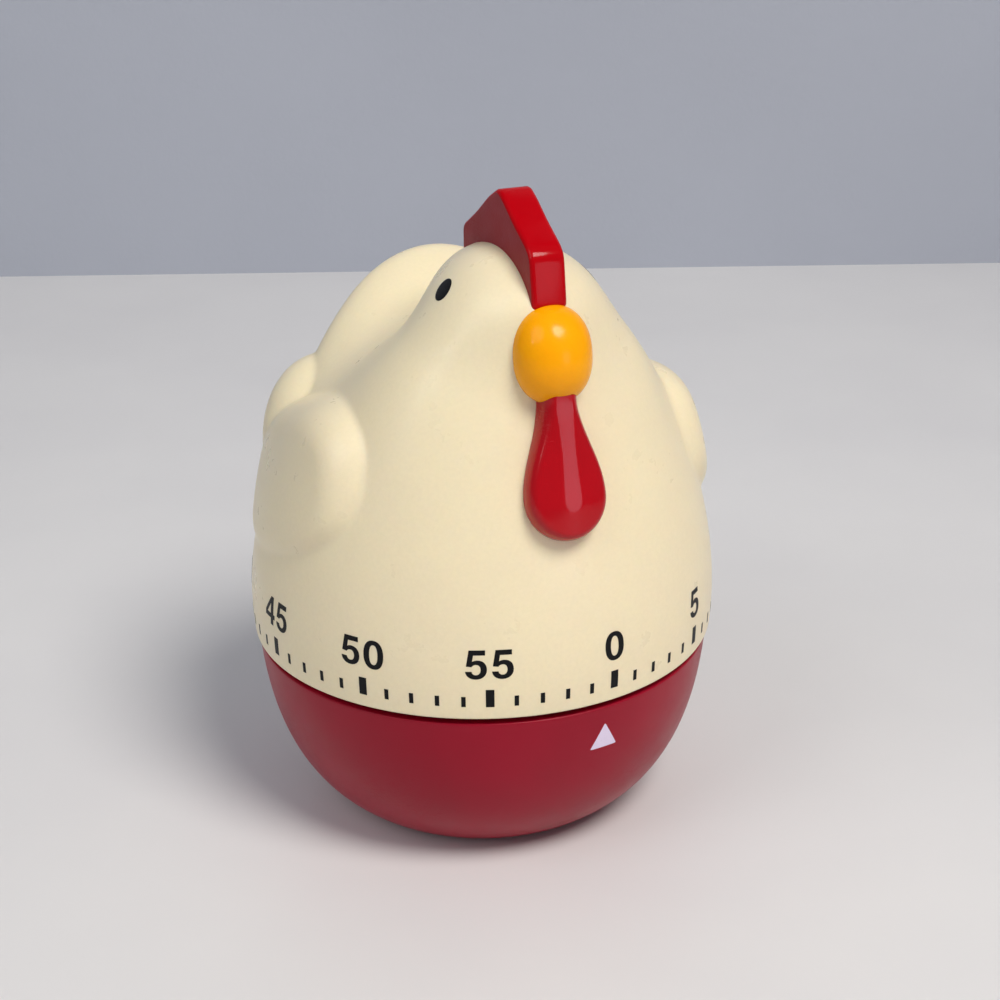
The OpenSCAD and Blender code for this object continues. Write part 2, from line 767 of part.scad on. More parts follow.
// Both pallet pins' places, either side of the line from the escape arbor to the balance staff
function pallet_pin_places() =
    let (across = bearing(escape_at, balance_at))
    [for (side = [-1, 1]) polar(escape_at) + polar([pallet_pin_reach, across + side * pallet_pin_spread])];

module pallet_arm() {
    color(steel) translate([0, 0, pallet_z]) difference() {
        union() {
            at_polar(balance_at) cylinder(r = slim_arbor_r + hub_w, h = wheel_t);
            for (pin = pallet_pin_places()) {
                bar(polar(balance_at), pin, pallet_arm_w, wheel_t);
                translate(pin) cylinder(r = pallet_pin_r + 0.2, h = wheel_t);
            }
        }
        at_polar(balance_at, -overlap) cylinder(r = slim_arbor_r, h = wheel_t + 2 * overlap);
    }
}

module pallet_pins() {
    color(steel) for (pin = pallet_pin_places()) {
        translate(concat(pin, [escape_wheel_z - pallet_pin_end]))
            cylinder(r = pallet_pin_r, h = pallet_z - escape_wheel_z + pallet_pin_end);
    }
}

// Ring on two spokes
module balance_wheel() {
    ring_r = 5.5;
    ring_w = 1;
    ring_t = 1.2;
    color(brass) at_polar(balance_at, balance_wheel_z) difference() {
        union() {
            difference() {
                cylinder(r = ring_r, h = ring_t);
                translate([0, 0, -overlap]) cylinder(r = ring_r - ring_w, h = ring_t + 2 * overlap);
            }
            translate([-ring_r + ring_w / 2, -ring_w / 2, 0]) cube([2 * ring_r - ring_w, ring_w, ring_t]);
            cylinder(r = slim_arbor_r + hub_w, h = ring_t);
        }
        translate([0, 0, -overlap]) cylinder(r = slim_arbor_r, h = ring_t + 2 * overlap);
    }
}

base_shell();
base_screws();
bottom_plate();
top_plate();
pillars();
plate_screws();
stop_pin();
bell_post();
bell();
bell_nut();
hammer_stud();
hammer_spring();
mainspring();
hen_shell();
comb();
beak();
wattle();
carrier_disc();
dial_arbor();
stop_finger();
clutch_washer();
strike_cam();
main_wheel();
second_arbor();
second_pinion();
second_wheel();
third_arbor();
third_pinion();
third_wheel();
escape_arbor();
escape_pinion();
escape_wheel();
balance_staff();
pallet_arm();
pallet_pins();
balance_wheel();
hammer_lever();
hammer_head();
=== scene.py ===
"""The looks of a hen-shaped wind-up kitchen timer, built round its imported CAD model.

The hen is the dial: it turns on the bowl-shaped base, and its printed scale runs past the pointer.
Metres. +Z is up, z = 0 is the flat underside, the hen turns about the Z axis and faces -Y at rest.
"Shares" are fractions of the radius of the hen's bottom edge, measured from the centre of that edge.
"""
import json
import math

import bmesh
import bpy
import numpy as np
from mathutils import Matrix, Quaternion, Vector


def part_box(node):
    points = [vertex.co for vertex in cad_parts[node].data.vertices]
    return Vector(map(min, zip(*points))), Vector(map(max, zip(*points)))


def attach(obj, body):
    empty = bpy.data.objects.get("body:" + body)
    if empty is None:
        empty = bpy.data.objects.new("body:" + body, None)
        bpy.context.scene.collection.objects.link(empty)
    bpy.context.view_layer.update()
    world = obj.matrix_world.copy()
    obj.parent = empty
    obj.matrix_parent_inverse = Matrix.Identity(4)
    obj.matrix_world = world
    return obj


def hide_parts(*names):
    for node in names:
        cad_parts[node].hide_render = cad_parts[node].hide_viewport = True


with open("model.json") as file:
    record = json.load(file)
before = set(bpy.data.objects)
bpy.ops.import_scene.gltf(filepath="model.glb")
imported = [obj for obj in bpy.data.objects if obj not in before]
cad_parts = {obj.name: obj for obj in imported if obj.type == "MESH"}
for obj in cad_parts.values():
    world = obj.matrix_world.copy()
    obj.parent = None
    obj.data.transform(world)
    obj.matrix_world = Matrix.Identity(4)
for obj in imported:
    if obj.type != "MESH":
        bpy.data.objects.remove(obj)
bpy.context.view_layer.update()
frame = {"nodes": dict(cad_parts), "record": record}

MM = 0.001
EDGE_ANGLE = 35     # edges sharper than this many degrees stay sharp

# ---- Hen surface, in shares: blended blobs, much as in the CAD ----
# A blob is its centre, half-sizes, backward lean and roll in degrees, and power. Power 2 is an ellipsoid, and
# more is boxier.
BODY_BLOB = ((0, 0, 0.136), (1.004, 1.004, 1.142), 0, 0, 2)
NECK_BLOB = ((0, -0.304, 0.795), (0.614, 0.44, 0.887), -13, 0, 2)
HEAD_BLOB = ((0, -0.358, 1.537), (0.229, 0.38, 0.182), 0, 0, 2)
TAIL_BLOB = ((0, 0.368, 0.53), (0.667, 0.32, 1.006), 12, 0, 2)
WING_OUTLINE = ((0, -0.012, 0.762), (9, 0.54, 0.332), 16.6, 0, 2.49)    # long in X; the pads stay in it
WING_LIFT = 0.06            # how far a pad stands over the body at WING_MIDDLE
WING_LIFT_RISE = 0.12       # how much further a pad stands for each share up
WING_MIDDLE = 0.762
WING_EDGE = 0.14            # how widely the pad's edge is rounded
REAR_WING_BLOB = ((-0.502, 0.386, 0.671), (0.333, 0.311, 0.459), 26, 5.7, 2)
NECK_BLEND = 0.445
HEAD_BLEND = 0.274
TAIL_BLEND = 0.283
WING_BLEND = 0.014
SURFACE_REACH = 2.6         # further than any point of the surface is from the point it is looked for from
BISECTIONS = 26

SEAM_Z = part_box("hen_shell")[0].z
SEAM_R = round(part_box("hen_shell")[1].x / BODY_BLOB[1][0], 4)
SEAM = np.array((0, 0, SEAM_Z))
HEN_WALL = 2.6 * MM
HEN_AROUND = 480            # points in each ring of the skin
HEN_UPWARD = 210            # rings from the top to the bottom edge
HEN_INNER_ROWS = 40         # rings of the hollow inside
HEN_EDGE = 0.3 * MM         # rounding of the bottom edge

# ---- Base: a bowl with a lip inside the hen ----
# The bowl's curve would be widest at BASE_WIDEST_Z, which is over its rim.
BASE_WIDEST_R = 0.9923 * SEAM_R
BASE_WIDEST_Z = SEAM_Z + 0.3694 * SEAM_R
BASE_DROP = 1.2742 * SEAM_R             # from there down to where the curve would close
BASE_POWER = 3                          # 2 is an ellipse; more is squarer
BASE_WALL = 2 * MM
BASE_FLOOR = 2.2 * MM
RIM_Z = SEAM_Z - 0.9 * MM
LIP_R = SEAM_R - HEN_WALL - 0.3 * MM
LIP_T = 1.6 * MM
LIP_TOP_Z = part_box("base_shell")[1].z
BOSS_CIRCLE = 20.5 * MM
BOSS_ANGLES = (60, 160, 290)            # from +X, as in the CAD
BOSS_R = 2.3 * MM
BOSS_LOW_Z = 4.6 * MM                   # meets the bowl's wall, just above its outside
BOSS_TOP_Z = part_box("bottom_plate")[0].z
BOSS_HOLE_DEPTH = 8 * MM
SCREW_HOLE_R = 1.1 * MM

# ---- Printed scale: azimuths in degrees from -Y towards +X, heights in shares ----
ZERO_AZIMUTH = 10.4
MINUTES = 60
MINUTES_PER_FIGURE = 5
MINOR_TICK = (0.0597, 0.1054, 0.0177)   # bottom, top, width
MAJOR_TICK = (0.0588, 0.1364, 0.034)
FIGURE_BOTTOM = 0.183
FIGURE_HEIGHT = 0.124
FIGURE_PITCH = 0.105
INK_PROUD = 0.02 * MM
INK_DEPTH = 0.08 * MM
INK_STEP = 0.6 * MM                     # longest facet of the print, so that it follows the surface


# ======== Shapes in numbers ========

def turned(p, lean, roll):
    """Vectors p seen from a blob that leans back and rolls by so many degrees."""
    c, s = math.cos(math.radians(lean)), math.sin(math.radians(lean))
    x, y, z = p[..., 0], c * p[..., 1] - s * p[..., 2], s * p[..., 1] + c * p[..., 2]
    c, s = math.cos(math.radians(roll)), math.sin(math.radians(roll))
    return np.stack((c * x + s * z, y, c * z - s * x), -1)


def blob_distance(p, blob):
    """Close to the distance from points p to a blob's surface, negative inside."""
    centre, half, lean, roll, power = blob
    shares = np.abs(turned(p - np.array(centre), lean, roll) / half)
    n = np.maximum((shares ** power).sum(-1), 1e-9) ** (1 / power)
    steepness = np.linalg.norm((shares / n[..., None]) ** (power - 1) / half, axis=-1)
    return (n - 1) / np.maximum(steepness, 1e-6)


def blended(a, b, width):
    """The smaller of two distances, with the crease between them filled over a width."""
    h = np.maximum(width - np.abs(a - b), 0) / width
    return np.minimum(a, b) - h * h * width / 4


def hen_distance(p):
    """The body, with a raised pad and a rear lobe for the wing on each side."""
    d = blob_distance(p, BODY_BLOB)
    d = blended(d, blob_distance(p, NECK_BLOB), NECK_BLEND)
    d = blended(d, blob_distance(p, HEAD_BLOB), HEAD_BLEND)
    d = blended(d, blob_distance(p, TAIL_BLOB), TAIL_BLEND)
    side = np.concatenate((-np.abs(p[..., :1]), p[..., 1:]), -1)
    lift = WING_LIFT + WING_LIFT_RISE * (p[..., 2] - WING_MIDDLE)
    pad = -blended(lift - d, -blob_distance(side, WING_OUTLINE), WING_EDGE)
    rear = blob_distance(side, REAR_WING_BLOB)
    return blended(blended(d, pad, WING_BLEND), rear, WING_BLEND)


def surface_points(origins, directions):
    """Where rays from inside the hen meet its surface, in shares."""
    low = np.zeros(directions.shape[:-1])
    high = np.full(directions.shape[:-1], SURFACE_REACH)
    for _ in range(BISECTIONS):
        middle = (low + high) / 2
        inside = hen_distance(origins + middle[..., None] * directions) < 0
        low = np.where(inside, middle, low)
        high = np.where(inside, high, middle)
    return origins + ((low + high) / 2)[..., None] * directions


def surface_normals(p):
    """Outward unit vectors at surface points, from the distance's slope."""
    step = 1e-4
    slope = [hen_distance(p + step * axis) - hen_distance(p - step * axis) for axis in np.eye(3)]
    slope = np.stack(slope, -1)
    return slope / np.linalg.norm(slope, axis=-1, keepdims=True)


def heading(azimuth):
    """Level unit vectors at azimuths in radians, from -Y towards +X."""
    return np.stack((np.sin(azimuth), -np.cos(azimuth), 0 * azimuth), -1)


def straight_up(z):
    """Vectors of lengths z along Z."""
    return np.stack((0 * z, 0 * z, z), -1)


def on_hen(azimuth, z):
    """Surface points and normals at azimuths in radians and heights in shares."""
    p = surface_points(straight_up(z), heading(azimuth))
    return p, surface_normals(p)


def in_metres(points):
    """Points in shares from the seam's centre, placed in the scene."""
    return [SEAM + np.array(point) * SEAM_R for point in points]


def base_radius(z):
    """The bowl's outside radius at a height in metres."""
    drop = (BASE_WIDEST_Z - z) / BASE_DROP
    return BASE_WIDEST_R * (1 - drop ** BASE_POWER) ** (1 / BASE_POWER)


def curved_corner(a, corner, b, steps):
    """Points of a quadratic curve from a to b that rounds off the corner between them."""
    a, corner, b = (np.array(v, float) for v in (a, corner, b))
    return [(1 - t) ** 2 * a + 2 * t * (1 - t) * corner + t * t * b for t in np.linspace(0, 1, steps + 1)]


# ======== Meshes ========

def new_piece(name, verts, faces, body, smooth=True):
    """A piece of the looks that moves with a body."""
    mesh = bpy.data.meshes.new(name)
    mesh.from_pydata([tuple(v) for v in verts], [], faces)
    mesh.validate()
    mesh.polygons.foreach_set("use_smooth", [smooth] * len(mesh.polygons))
    piece = bpy.data.objects.new(name, mesh)
    bpy.context.scene.collection.objects.link(piece)
    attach(piece, body)
    return piece


def closed_rings(rings, first_pole, last_pole):
    """Vertices and faces of a closed skin through rings of equal length, from pole to pole."""
    rows, count = rings.shape[:2]
    verts = list(rings.reshape(-1, 3)) + [first_pole, last_pole]
    first, last = rows * count, rows * count + 1
    faces = []
    for i in range(count):
        j = (i + 1) % count
        faces.append((first, i, j))
        for row in range(rows - 1):
            a, b = row * count, (row + 1) * count
            faces.append((a + i, b + i, b + j, a + j))
        faces.append((last, (rows - 1) * count + j, (rows - 1) * count + i))
    return verts, faces


def apply_modifiers(piece):
    """Makes the modifiers' result the piece's own mesh."""
    depsgraph = bpy.context.evaluated_depsgraph_get()
    mesh = bpy.data.meshes.new_from_object(piece.evaluated_get(depsgraph))
    piece.modifiers.clear()
    piece.data = mesh


def boolean(piece, tool, operation):
    """Joins or cuts a piece with a tool, and removes the tool."""
    change = piece.modifiers.new("change", "BOOLEAN")
    change.solver = "EXACT"
    change.operation = operation
    change.object = tool
    apply_modifiers(piece)
    bpy.data.objects.remove(tool)


def upright_cylinders(places, radius, low, high):
    """One object with a cylinder at each place; a tool for boolean(), not a piece."""
    segments = 48
    shape = bmesh.new()
    for x, y in places:
        centre = Matrix.Translation((x, y, (low + high) / 2))
        bmesh.ops.create_cone(shape, cap_ends=True, segments=segments, radius1=radius, radius2=radius,
                              depth=high - low, matrix=centre)
    mesh = bpy.data.meshes.new("tool")
    shape.to_mesh(mesh)
    shape.free()
    tool = bpy.data.objects.new("tool", mesh)
    bpy.context.scene.collection.objects.link(tool)
    return tool


def smooth_by_angle(piece, degrees):
    """Smooth shading that keeps edges sharper than the angle."""
    mesh = piece.data
    mesh.polygons.foreach_set("use_smooth", [True] * len(mesh.polygons))
    mesh.set_sharp_from_angle(angle=math.radians(degrees))


def slab(outlines, step):
    """A flat filled drawing as a closed slab with small facets: vertices (x, y, side) and faces.

    Outlines are closed loops of (x, y); side is 1 on the face and 0 on the back."""
    shape = bmesh.new()
    for outline in outlines:
        loop = [shape.verts.new((x, y, 0)) for x, y in outline]
        for a, b in zip(loop, loop[1:] + loop[:1]):
            shape.edges.new((a, b))
    bmesh.ops.triangle_fill(shape, use_beauty=True, use_dissolve=False, edges=shape.edges[:],
                            normal=(0, 0, 1))
    points = np.array([v.co for v in shape.verts])
    for axis in (0, 1):
        low, high = points[:, axis].min(), points[:, axis].max()
        cuts = int((high - low) / step)
        for k in range(1, cuts + 1):
            place = Vector((0, 0, 0))
            place[axis] = low + (high - low) * k / (cuts + 1)
            direction = Vector((1, 0, 0)) if axis == 0 else Vector((0, 1, 0))
            bmesh.ops.bisect_plane(shape, geom=shape.verts[:] + shape.edges[:] + shape.faces[:],
                                   plane_co=place, plane_no=direction, dist=1e-7)
    bmesh.ops.recalc_face_normals(shape, faces=shape.faces[:])
    if sum(face.normal.z * face.calc_area() for face in shape.faces) < 0:
        bmesh.ops.reverse_faces(shape, faces=shape.faces[:])
    shape.verts.index_update()
    flat = [(v.co.x, v.co.y) for v in shape.verts]
    fronts = [tuple(v.index for v in face.verts) for face in shape.faces]
    rims = [edge.link_loops[0] for edge in shape.edges if edge.is_boundary]
    rims = [(rim.vert.index, rim.link_loop_next.vert.index) for rim in rims]
    shape.free()
    count = len(flat)
    verts = [(x, y, side) for side in (1, 0) for x, y in flat]
    backs = [tuple(count + v for v in reversed(face)) for face in fronts]
    walls = [(b, a, count + a, count + b) for a, b in rims]
    return np.array(verts), fronts + backs + walls


def printed_on_hen(name, outlines, azimuth, height):
    """A thin print on the hen; outlines in shares, their origin at an azimuth in degrees and a height."""
    flat, faces = slab(outlines, INK_STEP / SEAM_R)
    z = height + flat[:, 1]
    p, normal = on_hen(math.radians(azimuth) + flat[:, 0], z)
    lift = np.where(flat[:, 2] > 0.5, INK_PROUD, -INK_DEPTH)[:, None]
    piece = new_piece(name, SEAM + p * SEAM_R + normal * lift, faces, "hen", smooth=False)
    piece.data.materials.append(MATERIALS["ink"])
    return piece


# ======== Materials ========

class Nodes:
    """A material's node tree, with short calls for what the finishes share."""

    def __init__(self, name):
        self.material = bpy.data.materials.new(name)
        self.material.use_nodes = True
        self.tree = self.material.node_tree
        self.shader = self.tree.nodes["Principled BSDF"]
        self.place = self.tree.nodes.new("ShaderNodeTexCoord").outputs["Object"]

    def node(self, kind, inputs=(), **settings):
        node = self.tree.nodes.new(kind)
        for key, value in settings.items():
            setattr(node, key, value)
        for key, value in dict(inputs).items():
            if isinstance(value, bpy.types.NodeSocket):
                self.tree.links.new(value, node.inputs[key])
            else:
                node.inputs[key].default_value = value
        return node

    def noise(self, size, detail, roughness=0.5, stretch=(1, 1, 1)):
        """Noise whose features are about the given size in metres."""
        where = self.place
        if stretch != (1, 1, 1):
            where = self.node("ShaderNodeMapping", {"Vector": where, "Scale": stretch}).outputs[0]
        inputs = {"Vector": where, "Scale": 1 / size, "Detail": detail, "Roughness": roughness}
        return self.node("ShaderNodeTexNoise", inputs).outputs["Fac"]

    def spread(self, value, low, high, out_low=0.0, out_high=1.0):
        """The value with its range from low to high spread over another range, and clamped."""
        inputs = {"Value": value, "From Min": low, "From Max": high, "To Min": out_low, "To Max": out_high}
        return self.node("ShaderNodeMapRange", inputs).outputs[0]

    def mixed(self, share, a, b):
        """Colour a to b by a share."""
        node = self.node("ShaderNodeMix", data_type="RGBA")
        for socket, value in zip((node.inputs[0], node.inputs[6], node.inputs[7]), (share, a, b)):
            if isinstance(value, bpy.types.NodeSocket):
                self.tree.links.new(value, socket)
            else:
                socket.default_value = value
        return node.outputs[2]

    def added(self, a, b, operation="ADD"):
        """The sum of two values, or what another operation makes of them."""
        return self.node("ShaderNodeMath", {0: a, 1: b}, operation=operation).outputs[0]

    def specks(self, spacing, size, share):
        """1 inside rare round specks, 0 elsewhere."""
        cells = self.node("ShaderNodeTexVoronoi", {"Vector": self.place, "Scale": 1 / spacing})
        near = self.spread(cells.outputs["Distance"], size / spacing * 0.7, size / spacing, 1, 0)
        chosen = self.spread(cells.outputs["Color"], 1 - share, 1 - share + 0.01)
        return self.added(near, chosen, "MULTIPLY")

    def scratches(self, length, width, amount):
        """1 along sparse fine scratches in two directions, 0 elsewhere."""
        marks = None
        for stretch in ((1, width / length, 1), (width / length, 0.6, 1)):
            lines = self.noise(width * 6, 1.0, 0.5, stretch)
            line = self.spread(lines, 0.5 - amount, 0.5, 0, 1)
            ridge = self.added(line, self.spread(lines, 0.5, 0.5 + amount, 1, 0), "MULTIPLY")
            marks = ridge if marks is None else self.added(marks, ridge, "MAXIMUM")
        where = self.spread(self.noise(length * 1.5, 1), 0.56, 0.66)
        return self.added(marks, where, "MULTIPLY")

    def bump(self, height, distance, below=None):
        """A bump of a depth in metres, over another bump if there is one below."""
        inputs = {"Height": height, "Distance": distance, "Strength": 1.0}
        if below is not None:
            inputs["Normal"] = below
        return self.node("ShaderNodeBump", inputs).outputs[0]

    def wire(self, **sockets):
        """Links or sets the shader's sockets; underscores in the names stand for spaces."""
        for key, value in sockets.items():
            socket = self.shader.inputs[key.replace("_", " ")]
            if isinstance(value, bpy.types.NodeSocket):
                self.tree.links.new(value, socket)
            else:
                socket.default_value = value


def linear(red, green, blue):
    """An sRGB colour of 0 to 255 as the linear colour that a shader takes."""
    def channel(value):
        value /= 255
        return value / 12.92 if value <= 0.04045 else ((value + 0.055) / 1.055) ** 2.4
    return channel(red), channel(green), channel(blue), 1.0


def shaded(colour, factor):
    """A colour made darker or lighter."""
    return tuple(c * factor for c in colour[:3]) + (1.0,)


CLOUD_SIZE = 14 * MM
GLOSS_PATCH = 5 * MM
GRAIN_SHADE = 0.16              # how strongly the grain darkens the colour
SCRATCH_LENGTH = 9 * MM
SCRATCH_WIDTH = 0.12 * MM
SCRATCH_DEPTH = 0.004 * MM
SCRATCH_AMOUNT = 0.018
SCRATCH_SHINE = 0.06            # how strongly a scratch lightens the colour
SCRATCH_ROUGHNESS = 0.18        # how much rougher a scratch is
DUST_SPACING = 7 * MM
DUST_SIZE = 0.16 * MM
DUST = (0.05, 0.04, 0.035, 1)


def moulded_plastic(name, colour, other, roughness, ripple, grain, soft=0.0, soft_radius=(1, 1, 1),
                    dust=0.0, specular=0.5):
    """Moulded plastic: cloudy colour, uneven gloss, slow ripples, fine grain, scratches and dust.

    roughness is its lowest and highest; ripple and grain are the size and depth of the two bumps;
    soft is the share of light that scatters inside; dust is the share of places that hold a speck."""
    n = Nodes(name)
    clouds = n.spread(n.noise(CLOUD_SIZE, 3), 0.35, 0.65)
    tint = n.mixed(clouds, colour, other)
    fine = n.noise(grain[0], 2, 0.6)
    tint = n.mixed(n.spread(fine, 0.3, 0.7, 0.0, GRAIN_SHADE), tint, shaded(colour, 0.78))
    marks = n.scratches(SCRATCH_LENGTH, SCRATCH_WIDTH, SCRATCH_AMOUNT)
    tint = n.mixed(n.added(marks, SCRATCH_SHINE, "MULTIPLY"), tint, shaded(colour, 1.2))
    if dust:
        tint = n.mixed(n.specks(DUST_SPACING, DUST_SIZE, dust), tint, DUST)
    gloss = n.spread(n.noise(GLOSS_PATCH, 4, 0.6), 0.3, 0.7, roughness[0], roughness[1])
    gloss = n.added(gloss, n.added(marks, SCRATCH_ROUGHNESS, "MULTIPLY"))
    slow = n.bump(n.noise(ripple[0], 1), ripple[1])
    worn = n.bump(marks, SCRATCH_DEPTH, slow)
    normal = n.bump(fine, grain[1], worn)
    n.wire(Base_Color=tint, Roughness=gloss, Normal=normal, Specular_IOR_Level=specular,
           Subsurface_Weight=soft, Subsurface_Radius=soft_radius, Subsurface_Scale=1.0 * MM)
    return n.material


def worked_metal(name, colour, tarnish, roughness, stretch):
    """Stamped, drawn or turned metal: fine lines along one way, cloudy tarnish and a few oil spots."""
    n = Nodes(name)
    lines = n.noise(0.25 * MM, 3, 0.6, stretch)
    clouds = n.spread(n.noise(4 * MM, 4, 0.6), 0.42, 0.72)
    tint = n.mixed(n.added(clouds, 0.5, "MULTIPLY"), colour, tarnish)
    tint = n.mixed(n.specks(2.5 * MM, 0.25 * MM, 0.3), tint, shaded(tarnish, 0.6))
    gloss = n.spread(n.added(lines, n.added(clouds, 0.4, "MULTIPLY")), 0.3, 1.0, roughness[0], roughness[1])
    n.wire(Base_Color=tint, Roughness=gloss, Normal=n.bump(lines, 0.006 * MM), Metallic=1.0)
    return n.material


def ink(name, colour, worn):
    """Pad-printed ink: slightly uneven cover and gloss."""
    n = Nodes(name)
    patches = n.spread(n.noise(0.5 * MM, 4, 0.7), 0.55, 0.85)
    tint = n.mixed(n.added(patches, 0.35, "MULTIPLY"), colour, worn)
    fine = n.noise(0.12 * MM, 2)
    n.wire(Base_Color=tint, Roughness=n.spread(fine, 0.3, 0.7, 0.35, 0.5), Normal=n.bump(fine, 0.002 * MM),
           Specular_IOR_Level=0.15)
    return n.material


CREAM = linear(241, 226, 189)
CRIMSON = linear(152, 3, 36)
POLISHED_RED = linear(176, 0, 16)
YOLK = linear(254, 172, 2)
MATERIALS = {
    "hen": moulded_plastic("cream_plastic", CREAM, linear(238, 223, 188), (0.26, 0.36), (6 * MM, 0.03 * MM),
                           (0.5 * MM, 0.002 * MM), soft=0.2, soft_radius=(3.0, 1.8, 0.8), dust=0.05,
                           specular=0.4),
    "comb_red": moulded_plastic("red_plastic", linear(180, 0, 12), linear(168, 0, 10), (0.12, 0.18),
                                (3 * MM, 0.02 * MM), (0.4 * MM, 0.002 * MM), specular=0.15),
    "wattle_red": moulded_plastic("red_plastic_polished", POLISHED_RED, linear(166, 0, 14), (0.1, 0.18),
                                  (3 * MM, 0.02 * MM), (0.4 * MM, 0.002 * MM), specular=0.35),
    # The comb's flat sides: a rougher textured finish, and a darker red than the edges that is painted shade
    "comb_side": moulded_plastic("red_plastic_textured_painted_shade", linear(150, 14, 26), linear(136, 12, 22),
                                 (0.5, 0.62), (3 * MM, 0.02 * MM), (0.3 * MM, 0.03 * MM)),
    "beak_yellow": moulded_plastic("yellow_plastic", YOLK, linear(250, 162, 2), (0.16, 0.24),
                                   (3 * MM, 0.04 * MM), (0.4 * MM, 0.002 * MM), soft=0.15,
                                   soft_radius=(1.8, 0.9, 0.05), specular=0.18),
    "base_red": moulded_plastic("crimson_plastic", CRIMSON, linear(144, 3, 33), (0.3, 0.38),
                                (8 * MM, 0.01 * MM), (0.22 * MM, 0.008 * MM), dust=0.05, specular=0.22),
    "carrier_plastic": moulded_plastic("carrier_plastic", linear(226, 214, 190), linear(214, 202, 178),
                                       (0.4, 0.55), (5 * MM, 0.02 * MM), (0.3 * MM, 0.006 * MM)),
    "plate_brass": worked_metal("plate_brass", linear(206, 172, 96), linear(150, 112, 56),
                                (0.25, 0.5), (1, 14, 1)),
    "wheel_brass": worked_metal("wheel_brass", linear(216, 180, 96), linear(168, 126, 60),
                                (0.2, 0.42), (10, 1, 1)),
    "bell_steel": worked_metal("bell_steel", linear(214, 216, 220), linear(170, 168, 160),
                               (0.08, 0.2), (1, 1, 16)),
    "steel": worked_metal("turned_steel", linear(188, 190, 194), linear(130, 122, 112),
                          (0.22, 0.45), (1, 1, 18)),
    "ink": ink("black_ink", (0.004, 0.004, 0.005, 1), (0.02, 0.018, 0.016, 1)),
    "pointer_ink": ink("pale_ink", linear(226, 214, 236), linear(200, 180, 205)),
}


# ======== Hen ========

def add_hen_shell():
    """The moulded hen: outside, rounded bottom edge, underside and hollow inside in one skin."""
    turn = np.arange(HEN_AROUND) * 2 * math.pi / HEN_AROUND
    edge = HEN_EDGE / SEAM_R
    wall = HEN_WALL / SEAM_R

    def reaches(rises):
        """Surface points round the hen at angles in radians over the seam, and the ways out to them."""
        level = heading(turn)[None]
        upright = np.array((0, 0, 1.0))
        aims = np.cos(rises)[:, None, None] * level + np.sin(rises)[:, None, None] * upright
        return surface_points(np.zeros(3), aims), aims

    outer = reaches(np.linspace(math.pi / 2, edge, HEN_UPWARD)[1:])[0]
    bottom = np.linalg.norm(outer[-1][:, :2], axis=-1)
    rounding = []
    for t in np.linspace(0, math.pi / 2, 7)[1:]:
        radius = bottom - edge * (1 - math.cos(t))
        rounding.append(heading(turn) * radius[:, None] + (0, 0, edge * (1 - math.sin(t))))
    inner, aims = reaches(np.linspace(0, math.pi / 2, HEN_INNER_ROWS, endpoint=False))
    rings = np.concatenate((outer, np.array(rounding), inner - aims * wall))
    top = surface_points(np.zeros(3), np.array((0, 0, 1.0)))
    verts, faces = closed_rings(rings, top, top - (0, 0, wall))
    piece = new_piece("hen_body", in_metres(verts), faces, "hen")
    piece.data.materials.append(MATERIALS["hen"])
    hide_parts("hen_shell")


COMB_OUTLINE = (        # distance forward of the axis and height over the seam, in shares
    (0.02, 1.56), (0.02, 1.755), (0.165, 1.84), (0.305, 1.935), (0.405, 1.985), (0.47, 1.955),
    (0.578, 1.888), (0.7, 1.825), (0.735, 1.79), (0.747, 1.71), (0.762, 1.59), (0.66, 1.5), (0.5, 1.6),
)
COMB_CORNER = 0.03
COMB_EDGE = 0.55 * MM
COMB_SIDE_X = 0.97      # a face whose normal's X is past this is one of the blade's flat sides


def rounded_outline(points, radius, steps=5):
    """A closed outline whose corners are rounded off over the given length of each side."""
    longest = 0.45      # of a side's length, so that two corners never meet
    result = []
    count = len(points)
    for k in range(count):
        before, here, after = (np.array(points[(k + shift) % count]) for shift in (-1, 0, 1))
        back, ahead = before - here, after - here
        reach_back = min(radius, np.linalg.norm(back) * longest)
        reach_ahead = min(radius, np.linalg.norm(ahead) * longest)
        a = here + back / np.linalg.norm(back) * reach_back
        b = here + ahead / np.linalg.norm(ahead) * reach_ahead
        result.extend(curved_corner(a, here, b, steps))
    return result


